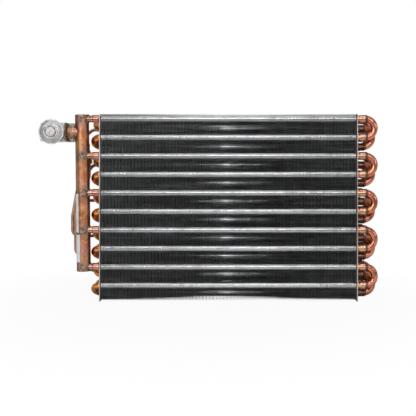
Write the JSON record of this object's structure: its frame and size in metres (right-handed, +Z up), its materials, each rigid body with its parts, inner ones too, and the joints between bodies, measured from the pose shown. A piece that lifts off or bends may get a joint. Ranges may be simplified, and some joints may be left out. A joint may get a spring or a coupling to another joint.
{
  "type": "evaporator core",
  "caption": "Plate-fin evaporator core with staggered copper tube circuits, suction header, distributor with capillaries and a block expansion valve.",
  "frame": {"origin": "bottom centre of the whole part, on the plane of the end plates' feet", "axes": "+X along the tubes to the return bends, -Y the face that the power head looks from, +Z up"},
  "size_m": [0.462, 0.0778, 0.256],
  "materials": {
    "aluminium_fins": "mill finish",
    "aluminium_plate": "mill finish",
    "copper_tube": "bright drawn copper, flushed pink by brazing",
    "copper_hairpin": "bright drawn copper",
    "copper_bend": "drawn copper, flushed pink by brazing",
    "copper_header": "heat-tinted copper",
    "brazed_copper": "dull braze alloy over copper",
    "copper_capillary": "dull copper",
    "distributor_brass": "turned brass",
    "valve_aluminium": "as extruded and machined",
    "head_steel": "pressed, satin",
    "cartridge_brass": "turned",
    "flange_steel": "copper plated, dull",
    "clamp_steel": "zinc plated, dull",
    "zinc_steel": "bright zinc",
    "ring_rubber": "matt",
    "label_paper": "blank, satin"
  },
  "bodies": {
    "root": {"fin_pack": "aluminium_fins", "end_plate_left": "aluminium_plate", "end_plate_right": "aluminium_plate", "suction_tube_1": "copper_tube", "suction_tube_2": "copper_tube", "suction_tube_3": "copper_tube", "suction_tube_4": "copper_tube", "suction_tube_5": "copper_tube", "liquid_tube_1": "copper_tube", "liquid_tube_2": "copper_tube", "liquid_tube_3": "copper_tube", "liquid_tube_4": "copper_tube", "liquid_tube_5": "copper_tube", "hairpin_front_1": "copper_hairpin", "hairpin_middle_1": "copper_hairpin", "hairpin_rear_1": "copper_hairpin", "hairpin_front_2": "copper_hairpin", "hairpin_middle_2": "copper_hairpin", "hairpin_rear_2": "copper_hairpin", "hairpin_front_3": "copper_hairpin", "hairpin_middle_3": "copper_hairpin", "hairpin_rear_3": "copper_hairpin", "hairpin_front_4": "copper_hairpin", "hairpin_middle_4": "copper_hairpin", "hairpin_rear_4": "copper_hairpin", "hairpin_front_5": "copper_hairpin", "hairpin_middle_5": "copper_hairpin", "hairpin_rear_5": "copper_hairpin", "return_bends_1": "copper_bend", "return_bends_2": "copper_bend", "return_bends_3": "copper_bend", "return_bends_4": "copper_bend", "return_bends_5": "copper_bend", "suction_header": "copper_header", "suction_pipe": "copper_header", "header_stub_1": "copper_header", "header_stub_2": "copper_header", "header_stub_3": "copper_header", "header_stub_4": "copper_header", "header_stub_5": "copper_header", "header_cap_top": "brazed_copper", "header_cap_bottom": "brazed_copper", "capillary_1": "copper_capillary", "capillary_2": "copper_capillary", "capillary_3": "copper_capillary", "capillary_4": "copper_capillary", "capillary_5": "copper_capillary", "liquid_pipe": "copper_capillary", "distributor": "distributor_brass", "valve_block": "valve_aluminium", "power_head": "head_steel", "metering_cartridge": "cartridge_brass", "port_flange": "flange_steel", "clamp_plate": "clamp_steel", "clamp_bolts": "zinc_steel", "clamp_sleeves": "zinc_steel", "sealing_rings": "ring_rubber", "label_upper": "label_paper", "label_lower": "label_paper"}
  },
  "joints": []
}
